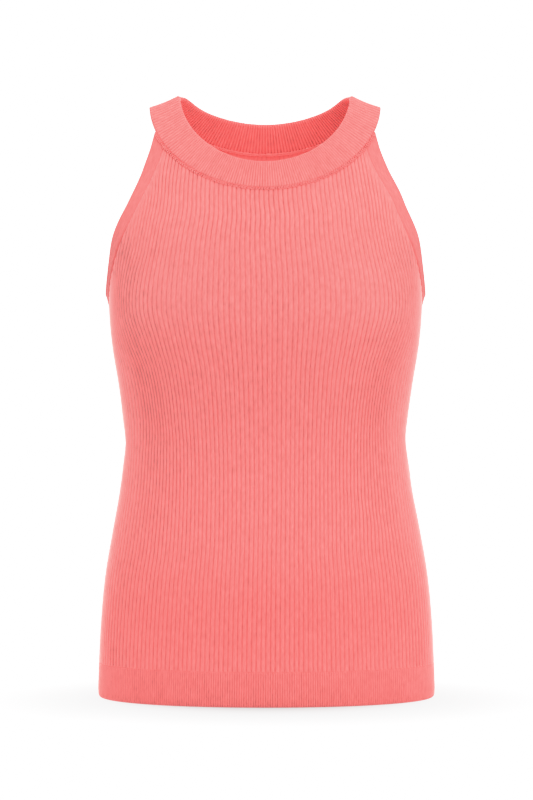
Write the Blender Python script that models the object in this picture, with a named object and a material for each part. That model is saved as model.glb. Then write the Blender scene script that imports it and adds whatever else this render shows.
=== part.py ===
"""Sleeveless ribbed knit top, standing open as worn.

Seven pieces of knit: a front and a back panel, one folded neckband that is also both
shoulder straps, a plain band round each armhole, and a fine-rib hem band on each panel.

Frame: millimetres in the tables, metres in the scene. +X is the wearer's left, -Y the
front, +Z up. The origin is midway between the shoulder tops, where the wearer holds it.
"""

import math

import bmesh
import bpy
import numpy as np

MM = 0.001

# Walls and seams, in mm
SEAM_GAP = 0.3
PANEL_WALL = 2.2
HEM_WALL = 2.4
ARM_BAND_WALL = 2.8
NECKBAND_THICK = 4.0
NECKBAND_PROUD = 0.8
NECKBAND_FOLD = 1.6
NECKBAND_CORNER = 0.8

# Lower edge of the panels and of the whole top, in mm from the shoulder tops
HEM_BAND_TOP = -536.5
HEM = -569.0

# Rings round the body, in mm, from the neckband seam down to the hem.
# level: the ring's height at its sides. front and back: depth from the ring's own
# centre, which lies at centre in Y. The dips: how far front and back hang lower.
# square: 2 is an ellipse, and more is a flatter front and back with fuller corners.
RINGS = [
    # level, half_width, front, back, centre, front_dip, back_dip, square
    (-12, 110.0, 92, 70, 0, 82, 37, 2.0),
    (-45, 127.5, 99, 85, -1, 66, 33, 2.15),
    (-80, 142.0, 107, 96, -3, 48, 24, 2.3),
    (-120, 148.0, 113, 103, -4, 27, 14, 2.4),
    (-160, 148.2, 116, 107, -5, 9, 5, 2.4),
    (-199, 148.0, 117, 108, -5, 0, 0, 2.4),
    (-235, 145.2, 114, 106, -5, 0, 0, 2.35),
    (-275, 139.5, 107, 102, -5, 0, 0, 2.25),
    (-315, 133.9, 99, 97, -4, 0, 0, 2.2),
    (-345, 134.0, 97, 97, -3, 0, 0, 2.2),
    (-375, 138.2, 99, 100, -3, 0, 0, 2.2),
    (-410, 146.0, 104, 105, -3, 0, 0, 2.25),
    (-455, 152.6, 110, 112, -3, 0, 0, 2.25),
    (-500, 156.7, 113, 116, -3, 0, 0, 2.2),
    (-536, 158.5, 113, 117, -3, 0, 0, 2.15),
    (-569, 159.5, 111, 116, -3, 0, 0, 2.1),
]

# The neckband's inner, folded edge: a ring of the same columns. Its outer edge is RINGS[0].
NECK_FOLD = (0, 81.0, 75, 56, 0, 67, 22, 2.0)

# How softly the rings turn over the shoulder, as a share of their front dip
SHOULDER_ROUND = 0.10

# The left armhole, from the front neckband seam under the arm to the back neckband seam.
# Angles run round the body in degrees, from centre front (0) over the side (90) to
# centre back (180). The seam joins band and panel, the edge is the band's free edge,
# and flare is how far that edge stands out from the body, in mm.
ARMHOLE = [
    # place, seam_level, seam_angle, edge_level, edge_angle, flare
    (0, -12, 58.5, -12, 69.5, 0.4),
    (1, -33, 55.0, -30, 63.2, 0.4),
    (2, -61, 53.2, -55, 60.2, 0.4),
    (3, -92, 53.5, -84, 60.0, 0.4),
    (4, -118, 57.0, -108, 63.8, 0.5),
    (5, -148, 63.5, -134, 70.3, 0.6),
    (6, -176, 72.0, -160, 76.5, 1.2),
    (7, -194, 81.0, -179, 83.0, 2.2),
    (8, -201, 90.0, -186, 90.0, 2.8),
    (9, -194, 99.5, -179, 97.5, 2.4),
    (10, -180, 110.5, -165, 106.0, 1.6),
    (11, -156, 122.5, -144, 115.0, 1.0),
    (12, -127, 131.0, -119, 121.5, 0.6),
    (13, -99, 135.5, -94, 126.0, 0.4),
    (14, -70, 137.0, -67, 128.0, 0.4),
    (15, -41, 134.0, -40, 125.0, 0.4),
    (16, -12, 127.0, -12, 114.0, 0.4),
]
UNDERARM = 8
NECK_END_BACK = 16

# Mesh density
ARM_STEPS = 14
BODY_STEPS = 12
HEM_STEPS = 2
PANEL_COLUMNS = 24
BAND_COLUMNS = 3
STRAP_COLUMNS = 7

# Steps over which the form's slopes are measured
NEAR_ANGLE = 0.5
NEAR_LEVEL = 1.0
NEAR_PLACE = 0.05

# How the armhole band's flare grows across it
FLARE_CURVE = 1.5

# Edges turning more than this are shaded sharp
SHARP_ANGLE = 50

RIB_CORAL = (0.92, 0.27, 0.26, 1.0)
BAND_CORAL = (0.90, 0.25, 0.24, 1.0)


def clear_scene():
    for old in list(bpy.data.objects):
        bpy.data.objects.remove(old, do_unlink=True)


def unit(vector):
    return vector / np.linalg.norm(vector)


def smooth_row(table, at):
    """Smooth curve through a table's rows, whose first column rises or falls."""
    rows = np.asarray(table, dtype=float)
    keys, values = rows[:, 0], rows[:, 1:]
    if keys[0] > keys[-1]:
        keys, at = -keys, -at
    at = min(max(at, keys[0]), keys[-1])
    low = min(max(int(np.searchsorted(keys, at)) - 1, 0), len(keys) - 2)
    span = keys[low + 1] - keys[low]
    share = (at - keys[low]) / span

    def slope(row):
        before, after = max(row - 1, 0), min(row + 1, len(keys) - 1)
        return (values[after] - values[before]) / (keys[after] - keys[before]) * span

    start = (2 * share**3 - 3 * share**2 + 1) * values[low]
    end = (3 * share**2 - 2 * share**3) * values[low + 1]
    leaving = (share**3 - 2 * share**2 + share) * slope(low)
    arriving = (share**3 - share**2) * slope(low + 1)
    return start + end + leaving + arriving


def ring_point(ring, angle):
    """Point of a ring at an angle in degrees from centre front."""
    level, half_width, front, back, centre, front_dip, back_dip, square = ring
    sine = math.sin(math.radians(angle))
    cosine = math.cos(math.radians(angle))
    reach = (abs(sine)**square + abs(cosine)**square)**(-1 / square)
    across = half_width * sine * reach
    if cosine < 0:
        return np.array([across, centre - back * cosine * reach,
                         level - back_dip * cosine**2])
    rounded = math.hypot(cosine, SHOULDER_ROUND) - SHOULDER_ROUND
    full = math.hypot(1, SHOULDER_ROUND) - SHOULDER_ROUND
    return np.array([across, centre - front * cosine * reach,
                     level - front_dip * rounded / full])


def body_point(level, angle):
    """Point of the body's outer face."""
    return ring_point((level, *smooth_row(RINGS, level)), angle)


def body_normal(level, angle):
    """Outward normal of the body's outer face."""
    along = body_point(level, angle + NEAR_ANGLE) - body_point(level, angle - NEAR_ANGLE)
    up = body_point(level + NEAR_LEVEL, angle) - body_point(level - NEAR_LEVEL, angle)
    return unit(np.cross(along, up))


def neck_frame(angle):
    """The neckband's outer edge, the way across the band to it, and its outward normal."""
    edge = ring_point(RINGS[0], angle)
    across = unit(edge - ring_point(NECK_FOLD, angle))
    before = ring_point(RINGS[0], angle - NEAR_ANGLE)
    after = ring_point(RINGS[0], angle + NEAR_ANGLE)
    return edge, across, unit(np.cross(after - before, -across))


def neck_seam_point(angle):
    """Point of what is sewn under the neckband, a seam's gap clear of it."""
    edge, across, _ = neck_frame(angle)
    return edge + SEAM_GAP * across


def armhole_seam(place):
    """Level and angle of the seam at a place, and the way across it to the free edge."""
    level, angle, edge_level, edge_angle, _ = smooth_row(ARMHOLE, place)
    before = smooth_row(ARMHOLE, place - NEAR_PLACE)
    after = smooth_row(ARMHOLE, place + NEAR_PLACE)
    along = unit(body_point(after[0], after[1]) - body_point(before[0], before[1]))
    towards = body_point(edge_level, edge_angle) - body_point(level, angle)
    return level, angle, unit(towards - along * np.dot(towards, along))


def wall_row(points, normals, wall):
    """Outer and inner points of one row of a wall."""
    return list(points), [point - wall * normal for point, normal in zip(points, normals)]


def add_object(name, points, faces, colour):
    """Closed mesh object from points in mm, its faces turned outward."""
    mesh = bpy.data.meshes.new(name)
    mesh.from_pydata([tuple(float(value) * MM for value in point) for point in points],
                     [], faces)
    shape = bmesh.new()
    shape.from_mesh(mesh)
    bmesh.ops.recalc_face_normals(shape, faces=shape.faces)
    shape.to_mesh(mesh)
    shape.free()
    mesh.shade_smooth()
    mesh.set_sharp_from_angle(angle=math.radians(SHARP_ANGLE))
    material = bpy.data.materials.new(name)
    material.use_nodes = True
    shader = material.node_tree.nodes["Principled BSDF"]
    shader.inputs["Base Color"].default_value = colour
    shader.inputs["Roughness"].default_value = 0.9
    shader.inputs["Metallic"].default_value = 0.0
    mesh.materials.append(material)
    obj = bpy.data.objects.new(name, mesh)
    bpy.context.collection.objects.link(obj)
    return obj


def add_wall(name, rows, colour):
    """Closed wall from rows of (outer points, inner points)."""
    count = len(rows)
    width = len(rows[0][0])
    points = [point for outer, _ in rows for point in outer]
    points += [point for _, inner in rows for point in inner]
    inside = count * width

    def at(row, column, side=0):
        return side * inside + row * width + column

    faces = []
    for row in range(count - 1):
        for column in range(width - 1):
            faces.append((at(row, column), at(row + 1, column),
                          at(row + 1, column + 1), at(row, column + 1)))
            faces.append((at(row, column + 1, 1), at(row + 1, column + 1, 1),
                          at(row + 1, column, 1), at(row, column, 1)))
    for row, step in ((0, 1), (count - 1, -1)):
        for column in range(width - 1):
            pair = (column, column + 1)[::step]
            faces.append((at(row, pair[0]), at(row, pair[1]),
                          at(row, pair[1], 1), at(row, pair[0], 1)))
    for column, step in ((0, -1), (width - 1, 1)):
        for row in range(count - 1):
            pair = (row, row + 1)[::step]
            faces.append((at(pair[0], column), at(pair[1], column),
                          at(pair[1], column, 1), at(pair[0], column, 1)))
    return add_object(name, points, faces, colour)


def panel_angles(reach, back):
    """Angles of a panel's columns, reaching so many degrees either way of its middle."""
    middle = 180.0 if back else 0.0
    return [middle + reach * (2 * i / PANEL_COLUMNS - 1) for i in range(PANEL_COLUMNS + 1)]


def mirrored(vector):
    return vector * np.array([-1, 1, 1])


def side_reach(level, back):
    """Degrees from a panel's middle to its side seam, half a seam's gap short of 90."""
    depth = smooth_row(RINGS, level)[2 if back else 1]
    return 90 - math.degrees(SEAM_GAP / 2 / depth)


def body_row(level, back, wall):
    """Row of a wall on the ring at a level, from side seam to side seam."""
    angles = panel_angles(side_reach(level, back), back)
    return wall_row([body_point(level, angle) for angle in angles],
                    [body_normal(level, angle) for angle in angles], wall)


def panel(name, back):
    """Ribbed front or back, from the neckband seam down to the hem band."""
    rows = []
    for step in range(ARM_STEPS + 1):
        place = UNDERARM * step / ARM_STEPS
        if back:
            place = NECK_END_BACK + (UNDERARM - NECK_END_BACK) * step / ARM_STEPS
        level, angle, across = armhole_seam(place)
        reach = 180 - angle if back else angle
        if step == ARM_STEPS:
            reach = side_reach(level, back)
        angles = panel_angles(reach, back)
        if step == 0:
            points = [neck_seam_point(angle) for angle in angles]
            normals = [neck_frame(angle)[2] for angle in angles]
        else:
            points = [body_point(level, angle) for angle in angles]
            normals = [body_normal(level, angle) for angle in angles]
        left, right = (0, -1) if back else (-1, 0)
        points[left] = points[left] - SEAM_GAP / 2 * across
        points[right] = points[right] - SEAM_GAP / 2 * mirrored(across)
        rows.append(wall_row(points, normals, PANEL_WALL))
    top = armhole_seam(UNDERARM)[0]
    bottom = HEM_BAND_TOP + SEAM_GAP / 2
    for step in range(1, BODY_STEPS + 1):
        rows.append(body_row(top + (bottom - top) * step / BODY_STEPS, back, PANEL_WALL))
    return add_wall(name, rows, RIB_CORAL)


def hem_band(name, back):
    """Fine-rib band at the lower edge of a panel."""
    rows = []
    top = HEM_BAND_TOP - SEAM_GAP / 2
    for step in range(HEM_STEPS + 1):
        rows.append(body_row(top + (HEM - top) * step / HEM_STEPS, back, HEM_WALL))
    return add_wall(name, rows, BAND_CORAL)


def armhole_band(name, side):
    """Plain-knit band round one armhole; side is 1 for the wearer's left, -1 right."""
    rows = []
    steps = 2 * ARM_STEPS
    for step in range(steps + 1):
        if step <= ARM_STEPS:
            place = UNDERARM * step / ARM_STEPS
        else:
            place = UNDERARM + (NECK_END_BACK - UNDERARM) * (step - ARM_STEPS) / ARM_STEPS
        level, angle, edge_level, edge_angle, flare = smooth_row(ARMHOLE, place)
        across = armhole_seam(place)[2]
        points = []
        normals = []
        for column in range(BAND_COLUMNS + 1):
            share = column / BAND_COLUMNS
            here_level = level + (edge_level - level) * share
            here_angle = angle + (edge_angle - angle) * share
            if step in (0, steps):
                point = neck_seam_point(here_angle)
                normal = neck_frame(here_angle)[2]
            else:
                point = body_point(here_level, here_angle)
                normal = body_normal(here_level, here_angle)
            if column == 0:
                point = point + SEAM_GAP / 2 * across
            points.append(point + flare * share**FLARE_CURVE * normal)
            normals.append(normal)
        outer, inner = wall_row(points, normals, ARM_BAND_WALL)
        if side < 0:
            outer = [mirrored(point) for point in outer]
            inner = [mirrored(point) for point in inner]
        rows.append((outer, inner))
    return add_wall(name, rows, BAND_CORAL)


def neckband(name):
    """Folded ring of fine rib, free over the shoulders."""
    def stretch(start, end, count):
        return [start + (end - start) * i / count for i in range(count)]

    seam_front, edge_front = ARMHOLE[0][2], ARMHOLE[0][4]
    seam_back, edge_back = ARMHOLE[-1][2], ARMHOLE[-1][4]
    half = [(0.0, seam_front, PANEL_COLUMNS // 2), (seam_front, edge_front, BAND_COLUMNS),
            (edge_front, edge_back, STRAP_COLUMNS), (edge_back, seam_back, BAND_COLUMNS),
            (seam_back, 180.0, PANEL_COLUMNS // 2)]
    left = [angle for start, end, count in half for angle in stretch(start, end, count)]
    angles = left + [180.0] + [360.0 - angle for angle in reversed(left[1:])]
    top = NECKBAND_PROUD
    bottom = NECKBAND_PROUD - NECKBAND_THICK
    points = []
    for angle in angles:
        edge, across, normal = neck_frame(angle)
        width = np.linalg.norm(edge - ring_point(NECK_FOLD, angle))
        section = [(width - NECKBAND_FOLD, top), (NECKBAND_CORNER, top),
                   (0, top - NECKBAND_CORNER), (0, bottom + NECKBAND_CORNER),
                   (NECKBAND_CORNER, bottom), (width - NECKBAND_FOLD, bottom),
                   (width, bottom + NECKBAND_FOLD), (width, top - NECKBAND_FOLD)]
        points += [edge - inward * across + height * normal for inward, height in section]
    sides = len(section)
    faces = []
    for ring in range(len(angles)):
        following = (ring + 1) % len(angles)
        for corner in range(sides):
            after = (corner + 1) % sides
            faces.append((ring * sides + corner, following * sides + corner,
                          following * sides + after, ring * sides + after))
    return add_object(name, points, faces, BAND_CORAL)


clear_scene()
panel("front_panel", back=False)
panel("back_panel", back=True)
neckband("neckband")
armhole_band("armhole_band_left", side=1)
armhole_band("armhole_band_right", side=-1)
hem_band("hem_band_front", back=False)
hem_band("hem_band_back", back=True)
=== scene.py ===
"""Sleeveless ribbed knit top, filled out as worn: its looks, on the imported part's frame.

Metres, +X the wearer's left, -Y the front, +Z up; the origin is between the shoulder tops.
The form's tables are in millimetres and in degrees round from centre front, and follow the
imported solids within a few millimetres.
"""

import math

import bmesh
import bpy
import numpy as np
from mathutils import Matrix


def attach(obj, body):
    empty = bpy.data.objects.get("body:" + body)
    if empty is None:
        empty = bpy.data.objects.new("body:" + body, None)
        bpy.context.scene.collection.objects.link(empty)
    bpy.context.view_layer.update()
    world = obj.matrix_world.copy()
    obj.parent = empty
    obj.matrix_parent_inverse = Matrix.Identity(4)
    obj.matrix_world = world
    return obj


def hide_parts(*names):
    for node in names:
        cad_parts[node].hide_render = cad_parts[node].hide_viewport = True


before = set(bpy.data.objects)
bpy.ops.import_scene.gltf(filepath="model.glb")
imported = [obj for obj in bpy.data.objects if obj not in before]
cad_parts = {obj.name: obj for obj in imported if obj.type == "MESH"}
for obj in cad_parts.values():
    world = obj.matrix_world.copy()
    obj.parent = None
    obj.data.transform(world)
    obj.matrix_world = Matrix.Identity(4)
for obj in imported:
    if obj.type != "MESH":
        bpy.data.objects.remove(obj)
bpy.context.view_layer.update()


# Front and back panels
# Soft wide-rib knit in coral cotton: some 94 ribs to a panel, cut off aslant by the
# armholes and linked to the neckband above and to a fine-rib hem band below.
MM = 0.001
SEAM_GAP = 0.3
PANEL_WALL = 2.2
HEM_BAND_TOP = -536.5
HEM_LAP = 0.3

# The body's outline level by level: how wide and deep it is, how far the ring dips at centre
# front and back, and how square it is (2 is an ellipse)
RINGS = np.array([
    # level, half_width, front, back, centre, front_dip, back_dip, square
    (-12, 110.0, 92, 70, 0, 82, 37, 2.0),
    (-45, 127.5, 99, 85, -1, 66, 33, 2.15),
    (-80, 142.0, 107, 96, -3, 48, 24, 2.3),
    (-120, 148.0, 113, 103, -4, 27, 14, 2.4),
    (-160, 148.2, 116, 107, -5, 9, 5, 2.4),
    (-199, 148.0, 117, 108, -5, 0, 0, 2.4),
    (-235, 145.2, 114, 106, -5, 0, 0, 2.35),
    (-275, 138.8, 107, 102, -5, 0, 0, 2.25),
    (-315, 133.8, 99, 97, -4, 0, 0, 2.2),
    (-345, 134.6, 97, 97, -3, 0, 0, 2.2),
    (-375, 138.5, 99, 100, -3, 0, 0, 2.2),
    (-410, 145.0, 104, 105, -3, 0, 0, 2.25),
    (-455, 152.6, 110, 112, -3, 0, 0, 2.25),
    (-500, 156.7, 113, 116, -3, 0, 0, 2.2),
    (-536, 158.5, 113, 117, -3, 0, 0, 2.15),
    (-569, 159.5, 111, 116, -3, 0, 0, 2.1),
], dtype=float)

# The armhole band's two edges, from the neckband seam in front, under the arm and up to the
# one at the back, and how far its free edge flares off the body
ARMHOLE = np.array([
    # place, seam_level, seam_angle, edge_level, edge_angle, flare
    (0, -12, 58.5, -12, 69.5, 0.4),
    (1, -33, 55.0, -30, 64.2, 0.4),
    (2, -61, 53.2, -55, 60.6, 0.4),
    (3, -92, 53.5, -84, 59.8, 0.4),
    (4, -118, 57.0, -108, 63.2, 0.5),
    (5, -148, 65.0, -134, 69.8, 0.6),
    (6, -176, 74.8, -160, 76.8, 1.2),
    (7, -196, 82.5, -182, 83.4, 2.6),
    (8, -202, 90.0, -188, 90.0, 3.2),
    (9, -197, 99.5, -183, 97.5, 2.7),
    (10, -180, 110.5, -165, 106.0, 1.6),
    (11, -156, 122.5, -144, 115.0, 1.0),
    (12, -127, 131.0, -119, 121.5, 0.6),
    (13, -99, 135.5, -94, 126.0, 0.4),
    (14, -70, 137.0, -67, 128.0, 0.4),
    (15, -41, 134.0, -40, 125.0, 0.4),
    (16, -12, 127.0, -12, 114.0, 0.4),
], dtype=float)
UNDERARM = 8
NECK_END_BACK = 16

# How deep the seams pull the cloth in; the armhole's starts below a level and is full a run
# further down
NECK_SEAM_SINK = 1.2
ARM_SEAM_SINK, SINK_LEVEL, SINK_RUN = 1.5, -100, 50

# Soft creases: ridges stand out and troughs sink in along a line, fading off all round
CREASES = np.array([
    # level, angle, to_level, to_angle, width, height
    (-372, 24, -424, 50, 9, 0.9),
    (-368, 34, -406, 52, 8, -0.8),
    (-452, -10, -500, 20, 14, -0.7),
    (-440, -26, -470, -2, 14, -0.5),
    (-300, -44, -322, -20, 12, 0.6),
    (-316, -50, -338, -26, 11, -0.5),
    (-232, -58, -262, -72, 12, -0.9),
    (-236, 58, -262, 72, 12, -0.7),
    (-150, 50, -186, 70, 10, -0.6),
    (-150, -50, -190, -72, 10, -0.6),
    (-318, 76, -340, 104, 12, -1.1),
    (-336, -74, -322, -106, 12, -1.2),
    (-352, 80, -362, 110, 11, 0.7),
    (-306, -82, -300, -108, 12, 0.8),
    (-300, 150, -318, 200, 16, -1.6),
    (-324, 140, -338, 186, 14, 1.0),
    (-346, 160, -352, 214, 15, -1.3),
    (-214, 150, -150, 136, 14, -0.9),
    (-220, 212, -160, 226, 14, -1.1),
    (-420, 172, -470, 206, 16, -0.8),
    (-438, 150, -496, 134, 18, 0.9),
], dtype=float)
CREASE_MM_PER_DEGREE = 2.2
CREASE_END_SHARE = 0.35

# Ribs run down from the neckband nearly parallel: their pitch at the middle of a panel and
# how far the middle rib sways to the wearer's left, in mm, how many ribs the ones half way
# to the sides bow inwards, how many are gathered in front of the sides, and how far the
# ribs on the wearer's right lean to the left, in mm
RIB_PITCH = np.array([
    # level, pitch, sway, bow, gather, lean
    (-12, 4.30, -1.0, -0.5, 0, 1.4),
    (-34, 4.37, -1.1, -0.05, 0.2, 1.4),
    (-83, 4.52, -1.1, 0.65, 1.7, 1.3),
    (-131, 4.66, -0.3, 0.3, 1.9, 0.1),
    (-176, 4.76, 1.2, -0.55, -0.1, -1.3),
    (-208, 4.80, 1.3, -0.65, -0.6, -1.4),
    (-234, 4.66, 1.3, 0.05, 0.5, -0.9),
    (-262, 4.40, 1.5, 0.55, 1.8, -0.4),
    (-300, 4.25, 1.8, 1.0, 1.9, 0),
    (-344, 4.15, 1.9, 1.2, 0.9, 0),
    (-371, 4.12, 1.6, 1.25, 0.6, 0),
    (-426, 4.12, 0.5, 1.3, 0.1, 0),
    (-453, 4.24, 0.1, 1.2, 0, 0),
    (-507, 4.32, -0.6, 0.8, 0, 0),
    (-569, 4.40, -1.0, 0.6, 0, 0),
], dtype=float)
RIBS_TO_SIDE = 47
KNIT_PITCH = 4.5
# Where a rib's columns of points lie, from one valley to the next
RIB_COLUMNS = (0, 0.065, 0.15, 0.5, 0.85, 0.935)

# How far the knit is stretched open, which makes it look paler, with painted light and shade on
# top: paler high up and towards the sides, deeper lower down, as the light falls
STRETCH_AND_LIGHT = np.array([
    # level, at_middle, at_sides
    (0, 0.80, 1.0),
    (-125, 0.76, 1.1),
    (-165, 0.78, 1.35),
    (-205, 0.76, 1.2),
    (-235, 0.60, 0.78),
    (-321, 0.56, 0.72),
    (-412, 0.42, 0.42),
    (-490, -0.06, 0.04),
    (-545, 0.15, 0.06),
    (-600, 0.18, 0.08),
], dtype=float)

# How deep the ribs are, which also sets how dark the painted shade in their valleys is: the
# figure pulls them deeper towards the sides, and round the sides the cloth is brushed nearly flat
RIB_DEPTH_TURNS = (0, 25, 35, 45, 53, 62, 80)
RIB_DEPTH = np.array([
    # level, then the depth this far round from a panel's middle, in degrees, as above
    (0, 1.10, 0.87, 0.90, 1.05, 1.10, 1.10, 0.8),
    (-95, 1.05, 0.86, 0.92, 1.10, 1.15, 1.10, 0.8),
    (-140, 0.84, 0.75, 0.84, 1.15, 1.45, 1.45, 0.8),
    (-190, 0.88, 0.75, 0.78, 1.10, 1.65, 1.60, 0.7),
    (-240, 0.87, 0.88, 1.08, 1.50, 1.70, 1.25, 0.6),
    (-285, 0.87, 0.92, 1.15, 1.60, 1.70, 1.00, 0.6),
    (-335, 0.82, 0.98, 1.15, 1.50, 1.55, 1.00, 0.6),
    (-390, 0.86, 0.98, 1.08, 1.40, 1.45, 0.95, 0.6),
    (-445, 0.84, 0.80, 0.90, 1.18, 1.45, 1.20, 0.7),
    (-500, 0.90, 0.82, 0.88, 1.00, 1.25, 1.50, 0.8),
    (-545, 1.00, 0.82, 0.88, 0.95, 1.30, 1.75, 0.8),
], dtype=float)


def stretch_and_light_at(level, turn):
    """How far the knit is stretched, together with painted light and shade, at a level, this far
    in degrees from a panel's middle.
    """
    at_middle, at_sides = np.moveaxis(smooth_row(STRETCH_AND_LIGHT, level), -1, 0)
    return at_middle + (at_sides - at_middle) * np.sin(np.radians(turn))**2


def unit(vectors):
    return vectors / np.linalg.norm(vectors, axis=-1, keepdims=True)


def smooth_row(table, at):
    """Smooth curves through a table's rows, read at places along its first column."""
    keys, values = table[:, 0], table[:, 1:]
    at = np.asarray(at, dtype=float)
    if keys[0] > keys[-1]:
        keys, at = -keys, -at
    at = np.clip(at, keys[0], keys[-1])
    low = np.clip(np.searchsorted(keys, at) - 1, 0, len(keys) - 2)
    rows = np.arange(len(keys))
    before, after = np.maximum(rows - 1, 0), np.minimum(rows + 1, len(keys) - 1)
    slopes = (values[after] - values[before]) / (keys[after] - keys[before])[:, None]
    span = (keys[low + 1] - keys[low])[..., None]
    share = (at - keys[low])[..., None] / span
    return ((2 * share**3 - 3 * share**2 + 1) * values[low]
            + (3 * share**2 - 2 * share**3) * values[low + 1]
            + (share**3 - 2 * share**2 + share) * slopes[low] * span
            + (share**3 - share**2) * slopes[low + 1] * span)


def fade(distance, length):
    share = np.clip(distance / length, 0, 1)
    return share**2 * (3 - 2 * share)


# How softly the neckline turns over the shoulders, and how far the form leans to the
# wearer's right, in mm: above the hips, more near the shoulders, and less just below them
SHOULDER_ROUND = 0.10
HIP_LEAN, HIP_LEVEL, HIP_RUN = 0.9, -420, 100
TOP_LEAN, TOP_LEVEL, TOP_RUN = 0.5, -90, 60
UPRIGHT, UPRIGHT_LEVEL, UPRIGHT_RUN = 1.1, -66, 24


def ring_point(ring, angle):
    """Points of rings round the body, at angles in degrees from centre front."""
    level, half_width, front, back, centre, front_dip, back_dip, square = ring
    sine, cosine = np.sin(np.radians(angle)), np.cos(np.radians(angle))
    reach = (np.abs(sine)**square + np.abs(cosine)**square)**(-1 / square)
    rounded = np.hypot(cosine, SHOULDER_ROUND) - SHOULDER_ROUND
    full = math.hypot(1, SHOULDER_ROUND) - SHOULDER_ROUND
    depth = np.where(cosine < 0, back, front)
    dip = np.where(cosine < 0, back_dip * cosine**2, front_dip * rounded / full)
    lean = (HIP_LEAN * fade(level - HIP_LEVEL, HIP_RUN)
            + TOP_LEAN * fade(level - TOP_LEVEL, TOP_RUN)
            - UPRIGHT * np.exp(-((level - UPRIGHT_LEVEL) / UPRIGHT_RUN)**2))
    return np.stack([half_width * sine * reach - lean, centre - depth * cosine * reach,
                     level - dip], axis=-1)


def body_point(level, angle):
    """Points of the body's smooth outer face."""
    level, angle = np.broadcast_arrays(np.asarray(level, float), np.asarray(angle, float))
    return ring_point((level, *np.moveaxis(smooth_row(RINGS, level), -1, 0)), angle)


def body_along(level, angle):
    """The way round the body, towards larger angles."""
    return body_point(level, angle + 0.5) - body_point(level, angle - 0.5)


def body_normal(level, angle):
    up = body_point(level + 1, angle) - body_point(level - 1, angle)
    return unit(np.cross(body_along(level, angle), up))


def crease_height(level, angle):
    """How far the creases lift the cloth off the smooth form, in mm."""
    height = np.zeros(np.broadcast(level, angle).shape)
    for from_level, from_angle, to_level, to_angle, width, rise in CREASES:
        across = ((angle - from_angle + 180) % 360 - 180) * CREASE_MM_PER_DEGREE
        run = (to_angle - from_angle) * CREASE_MM_PER_DEGREE
        drop, fall = level - from_level, to_level - from_level
        share = np.clip((across * run + drop * fall) / (run**2 + fall**2), 0, 1)
        off = np.hypot(across - share * run, drop - share * fall)
        height += rise * np.exp(-(off / width)**2) * (
            CREASE_END_SHARE + (1 - CREASE_END_SHARE) * np.sin(math.pi * share))
    return height


def cloth(level, angle):
    """Points and outward normals of the creased cloth's outer face."""
    normal = body_normal(level, angle)
    return body_point(level, angle) + crease_height(level, angle)[..., None] * normal, normal


# The neckband's folded edge, as a row of RINGS, and how far it rises behind each shoulder, at
# which angle and over how many degrees
NECK_FOLD = (-0.5, 81.0, 75, 56, 0, 67.5, 21.1, 2.0)
SHOULDER_RISE, RISE_ANGLE, RISE_SPREAD = 3.4, 113, 14


def neck_fold(angle):
    """The neckband's folded edge, which rises a little just behind each shoulder."""
    behind = np.abs((angle + 180) % 360 - 180) - RISE_ANGLE
    return ring_point(NECK_FOLD, angle) + SHOULDER_RISE * np.stack(
        [0 * angle, 0 * angle, np.exp(-(behind / RISE_SPREAD)**2)], axis=-1)


def neck_frame(angle):
    """The neckband's outer edge, the way across the band to it, and its outward normal."""
    edge = ring_point(RINGS[0], angle)
    across = unit(edge - neck_fold(angle))
    along = ring_point(RINGS[0], angle + 0.5) - ring_point(RINGS[0], angle - 0.5)
    return edge, across, unit(np.cross(along, -across))


def rounding(distance, radius):
    """Share of its full thickness that a wall keeps this far from a rounded edge."""
    return np.sqrt(1 - (1 - np.clip(distance / radius, 0, 1))**2)


def add_object(name, data):
    """Adds an object of this data to the scene."""
    added = bpy.data.objects.new(name, data)
    bpy.context.scene.collection.objects.link(added)
    return added


# Points closer than this are made one, and the knit's pattern inside is moved by this much,
# on a panel and on a band, so that it doesn't mirror the outside
SAME_POINT = 0.002
PANEL_SHIFT, BAND_SHIFT = 0.002, 0.003


def knit_shell(name, middle, half, out, across, ring=False, **values):
    """Closed shell of knit, half its thickness to each side of a grid of points in mm, whose
    first and last rows are joined if it is a ring. out and across give each point's outward
    and sideways direction; values are the knit's own (outer, inner) grids."""
    outer, inner = middle + half[..., None] * out, middle - half[..., None] * out
    rows, columns = outer.shape[:2]
    places = np.arange(rows * columns).reshape(rows, columns)
    back = places + rows * columns
    faces = [np.stack([places[:-1, :-1], places[1:, :-1], places[1:, 1:], places[:-1, 1:]], -1),
             np.stack([back[:-1, 1:], back[1:, 1:], back[1:, :-1], back[:-1, :-1]], -1)]
    faces = [grid.reshape(-1, 4) for grid in faces]
    ends = [] if ring else [places[0], places[-1][::-1]]
    for line in ends + [places[:, 0][::-1], places[:, -1]]:
        faces.append(np.stack([line[:-1], line[1:], line[1:] + rows * columns,
                               line[:-1] + rows * columns], -1))
    mesh = bpy.data.meshes.new(name)
    points = np.concatenate([outer.reshape(-1, 3), inner.reshape(-1, 3)]) * MM
    mesh.from_pydata(points.tolist(), [], np.concatenate(faces).tolist())
    values = dict(values, out=(out, -out), across=(across, across))
    for key, (face, lining) in values.items():
        flat = np.concatenate([face.ravel(), lining.ravel()]).astype(np.float32)
        kind, slot = ("FLOAT_VECTOR", "vector") if face.ndim == 3 else ("FLOAT", "value")
        mesh.attributes.new(key, kind, "POINT").data.foreach_set(slot, flat)
    shape = bmesh.new()
    shape.from_mesh(mesh)
    bmesh.ops.remove_doubles(shape, verts=shape.verts, dist=SAME_POINT * MM)
    bmesh.ops.recalc_face_normals(shape, faces=shape.faces)
    shape.to_mesh(mesh)
    shape.free()
    mesh.shade_smooth()
    return add_object(name, mesh)


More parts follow.
